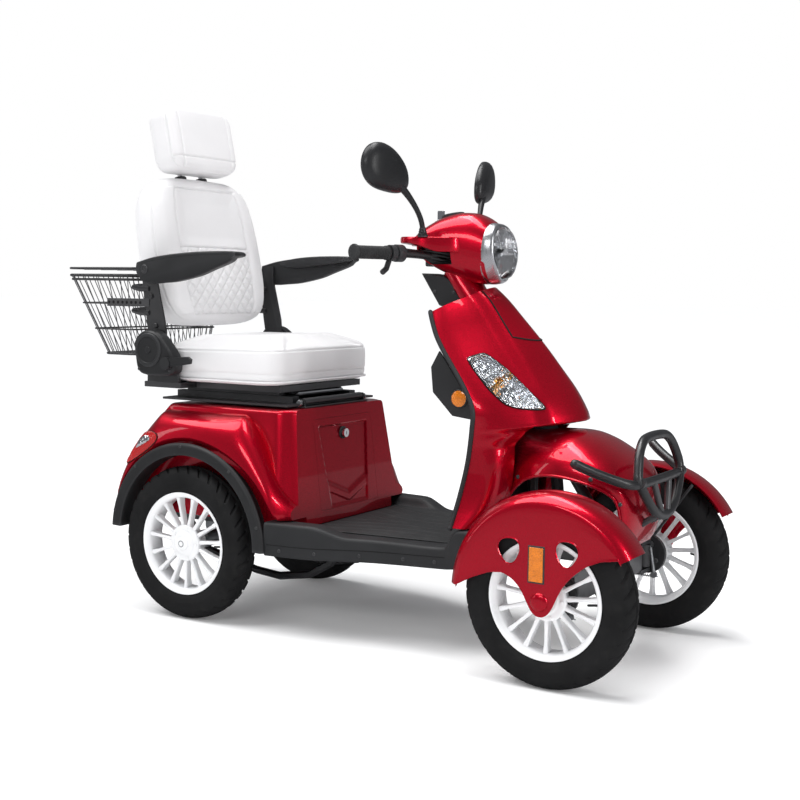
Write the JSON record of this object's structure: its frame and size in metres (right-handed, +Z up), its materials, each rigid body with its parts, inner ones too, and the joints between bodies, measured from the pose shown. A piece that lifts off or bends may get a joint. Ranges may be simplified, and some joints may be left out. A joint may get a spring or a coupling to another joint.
{
  "type": "mobility scooter",
  "caption": "Electric mobility scooter with padded captain's seat, steered front wheels under fenders, glossy red body shells, rear mesh basket, front guard bar and mirrors",
  "frame": {"origin": "middle of the bounding box on the ground", "axes": "+X forwards, +Y to the scooter's left, +Z up; wheels straight ahead"},
  "size_m": [1.8194, 0.736, 1.3935],
  "materials": {
    "red_paint": "glossy candy red metallic clear coat",
    "black_plastic": "fine-grained satin black",
    "black_steel": "satin black powder coat",
    "floor_rubber": "matt ribbed black",
    "tyre_rubber": "matt black",
    "white_rim": "satin white",
    "white_leather": "soft white grain",
    "clear_lens": "clear polished",
    "tail_lens": "polished red",
    "machined_steel": "bright machined",
    "battery_case": "matt dark grey"
  },
  "bodies": {
    "chassis": {"main_frame": "black_steel", "drive_unit": "black_steel", "floor_pan": "black_plastic", "floor_mat": "floor_rubber", "rear_body": "red_paint", "leg_shield": "red_paint", "leg_shield_inner": "black_plastic", "glove_box": "black_plastic", "front_nose": "red_paint", "bull_bar": "black_steel", "seat_hinge": "black_steel", "arch_trim_right": "black_plastic", "arch_trim_left": "black_plastic", "tail_light_right": "tail_lens", "tail_light_left": "tail_lens", "turn_signal_right": "clear_lens", "turn_signal_left": "clear_lens", "battery_pack": "battery_case"},
    "battery_door": {"battery_door": "red_paint"},
    "door_lock": {"door_lock": "machined_steel"},
    "rear_wheel_right": {"rear_tyre_right": "tyre_rubber", "rear_rim_right": "white_rim"},
    "rear_wheel_left": {"rear_tyre_left": "tyre_rubber", "rear_rim_left": "white_rim"},
    "knuckle_right": {"knuckle_right": "black_steel", "front_fender_right": "red_paint"},
    "knuckle_left": {"knuckle_left": "black_steel", "front_fender_left": "red_paint"},
    "front_wheel_right": {"front_tyre_right": "tyre_rubber", "front_rim_right": "white_rim"},
    "front_wheel_left": {"front_tyre_left": "tyre_rubber", "front_rim_left": "white_rim"},
    "tie_rod": {"tie_rod": "machined_steel"},
    "seat_platform": {"seat_platform": "black_steel"},
    "seat_slide": {"seat_pan": "black_steel", "seat_cushion": "white_leather", "recliner_cover_right": "black_plastic", "recliner_cover_left": "black_plastic"},
    "recline_lever": {"recline_lever": "black_plastic"},
    "slide_lever": {"slide_lever": "machined_steel"},
    "backrest": {"backrest": "white_leather", "back_frame": "black_steel", "basket": "black_steel"},
    "basket_lid": {"basket_lid": "black_steel"},
    "headrest": {"headrest": "white_leather"},
    "armrest_right": {"armrest_right": "black_plastic"},
    "armrest_left": {"armrest_left": "black_plastic"},
    "steering": {"steering_stem": "black_steel", "head_cover": "red_paint", "column_cover": "black_plastic", "headlight": "clear_lens", "handlebar": "black_steel", "grip_right": "floor_rubber", "grip_left": "floor_rubber", "brake_perch": "black_plastic"},
    "throttle": {"throttle": "black_plastic"},
    "brake_lever": {"brake_lever": "machined_steel"},
    "key_switch": {"key_switch": "machined_steel"},
    "mirror_right": {"mirror_right": "black_plastic"},
    "mirror_left": {"mirror_left": "black_plastic"}
  },
  "joints": [
    {"name": "battery_door_hinge", "type": "hinge", "parent": "chassis", "child": "battery_door", "pos_m": [-0.0476, 0, 0.3], "axis": [0, 1, 0], "range_deg": [0, 75]},
    {"name": "door_lock_turn", "type": "hinge", "parent": "battery_door", "child": "door_lock", "pos_m": [-0.071, 0, 0.495], "axis": [1, 0, 0], "range_deg": [0, 90]},
    {"name": "rear_axle_right", "type": "hinge", "parent": "chassis", "child": "rear_wheel_right", "pos_m": [-0.374, -0.284, 0.205], "axis": [0, 1, 0], "continuous": true},
    {"name": "rear_axle_left", "type": "hinge", "parent": "chassis", "child": "rear_wheel_left", "pos_m": [-0.374, 0.284, 0.205], "axis": [0, 1, 0], "continuous": true},
    {"name": "steering_turn", "type": "hinge", "parent": "chassis", "child": "steering", "pos_m": [0.27, 0, 0.95], "axis": [-0.5519, 0, 0.8339], "range_deg": [-26, 26]},
    {"name": "kingpin_right", "type": "hinge", "parent": "chassis", "child": "knuckle_right", "pos_m": [0.701, -0.25, 0.205], "axis": [0, 0, 1], "range_deg": [-26, 26]},
    {"name": "kingpin_left", "type": "hinge", "parent": "chassis", "child": "knuckle_left", "pos_m": [0.701, 0.25, 0.205], "axis": [0, 0, 1], "range_deg": [-26, 26]},
    {"name": "front_axle_right", "type": "hinge", "parent": "knuckle_right", "child": "front_wheel_right", "pos_m": [0.701, -0.316, 0.205], "axis": [0, 1, 0], "continuous": true},
    {"name": "front_axle_left", "type": "hinge", "parent": "knuckle_left", "child": "front_wheel_left", "pos_m": [0.701, 0.316, 0.205], "axis": [0, 1, 0], "continuous": true},
    {"name": "tie_rod_travel", "type": "slide", "parent": "chassis", "child": "tie_rod", "axis": [0, 1, 0], "range_m": [-0.0385, 0.0385]},
    {"name": "seat_tilt", "type": "hinge", "parent": "chassis", "child": "seat_platform", "pos_m": [-0.11, 0, 0.5865], "axis": [0, 1, 0], "range_deg": [0, 50]},
    {"name": "seat_travel", "type": "slide", "parent": "seat_platform", "child": "seat_slide", "axis": [1, 0, 0], "range_m": [-0.05, 0.02]},
    {"name": "recline_lever_lift", "type": "hinge", "parent": "seat_slide", "child": "recline_lever", "pos_m": [-0.438, 0, 0.682], "axis": [0, -1, 0], "range_deg": [0, 25], "stiffness_Nm_per_rad": 0.8},
    {"name": "slide_lever_press", "type": "hinge", "parent": "seat_slide", "child": "slide_lever", "pos_m": [-0.265, 0, 0.6052], "axis": [0, 1, 0], "range_deg": [0, 6], "stiffness_Nm_per_rad": 3},
    {"name": "backrest_recline", "type": "hinge", "parent": "seat_slide", "child": "backrest", "pos_m": [-0.5, 0, 0.7], "axis": [0, -1, 0], "range_deg": [-30, 25]},
    {"name": "basket_lid_hinge", "type": "hinge", "parent": "backrest", "child": "basket_lid", "pos_m": [-0.634, 0, 0.938], "axis": [0, 1, 0], "range_deg": [0, 65]},
    {"name": "headrest_height", "type": "slide", "parent": "backrest", "child": "headrest", "axis": [-0.2079, 0, 0.9781], "range_m": [0, 0.06]},
    {"name": "armrest_right_lift", "type": "hinge", "parent": "backrest", "child": "armrest_right", "pos_m": [-0.526, -0.27, 0.934], "axis": [0, -1, 0], "range_deg": [0, 95]},
    {"name": "armrest_left_lift", "type": "hinge", "parent": "backrest", "child": "armrest_left", "pos_m": [-0.526, 0.27, 0.934], "axis": [0, -1, 0], "range_deg": [0, 95]},
    {"name": "throttle_press", "type": "hinge", "parent": "steering", "child": "throttle", "pos_m": [0.19964, -0.198, 0.975], "axis": [0.2861, 0.9582, 0], "range_deg": [0, 25], "stiffness_Nm_per_rad": 0.5},
    {"name": "brake_lever_pull", "type": "hinge", "parent": "steering", "child": "brake_lever", "pos_m": [0.268, 0.122, 0.973], "axis": [0, 0, 1], "range_deg": [0, 9], "stiffness_Nm_per_rad": 2},
    {"name": "key_turn", "type": "hinge", "parent": "steering", "child": "key_switch", "pos_m": [0.226, 0, 1.06], "axis": [0, 0, 1], "range_deg": [0, 90]},
    {"name": "mirror_right_turn", "type": "hinge", "parent": "steering", "child": "mirror_right", "pos_m": [0.255, -0.14, 1.0172], "axis": [0, 0, 1], "range_deg": [-30, 30]},
    {"name": "mirror_left_turn", "type": "hinge", "parent": "steering", "child": "mirror_left", "pos_m": [0.255, 0.14, 1.0172], "axis": [0, 0, 1], "range_deg": [-30, 30]}
  ],
  "couplings": [
    {"joint": "kingpin_right", "follows": "steering_turn", "ratio": 1},
    {"joint": "kingpin_left", "follows": "steering_turn", "ratio": 1},
    {"joint": "tie_rod_travel", "follows": "steering_turn", "m_per_rad": -0.08}
  ]
}
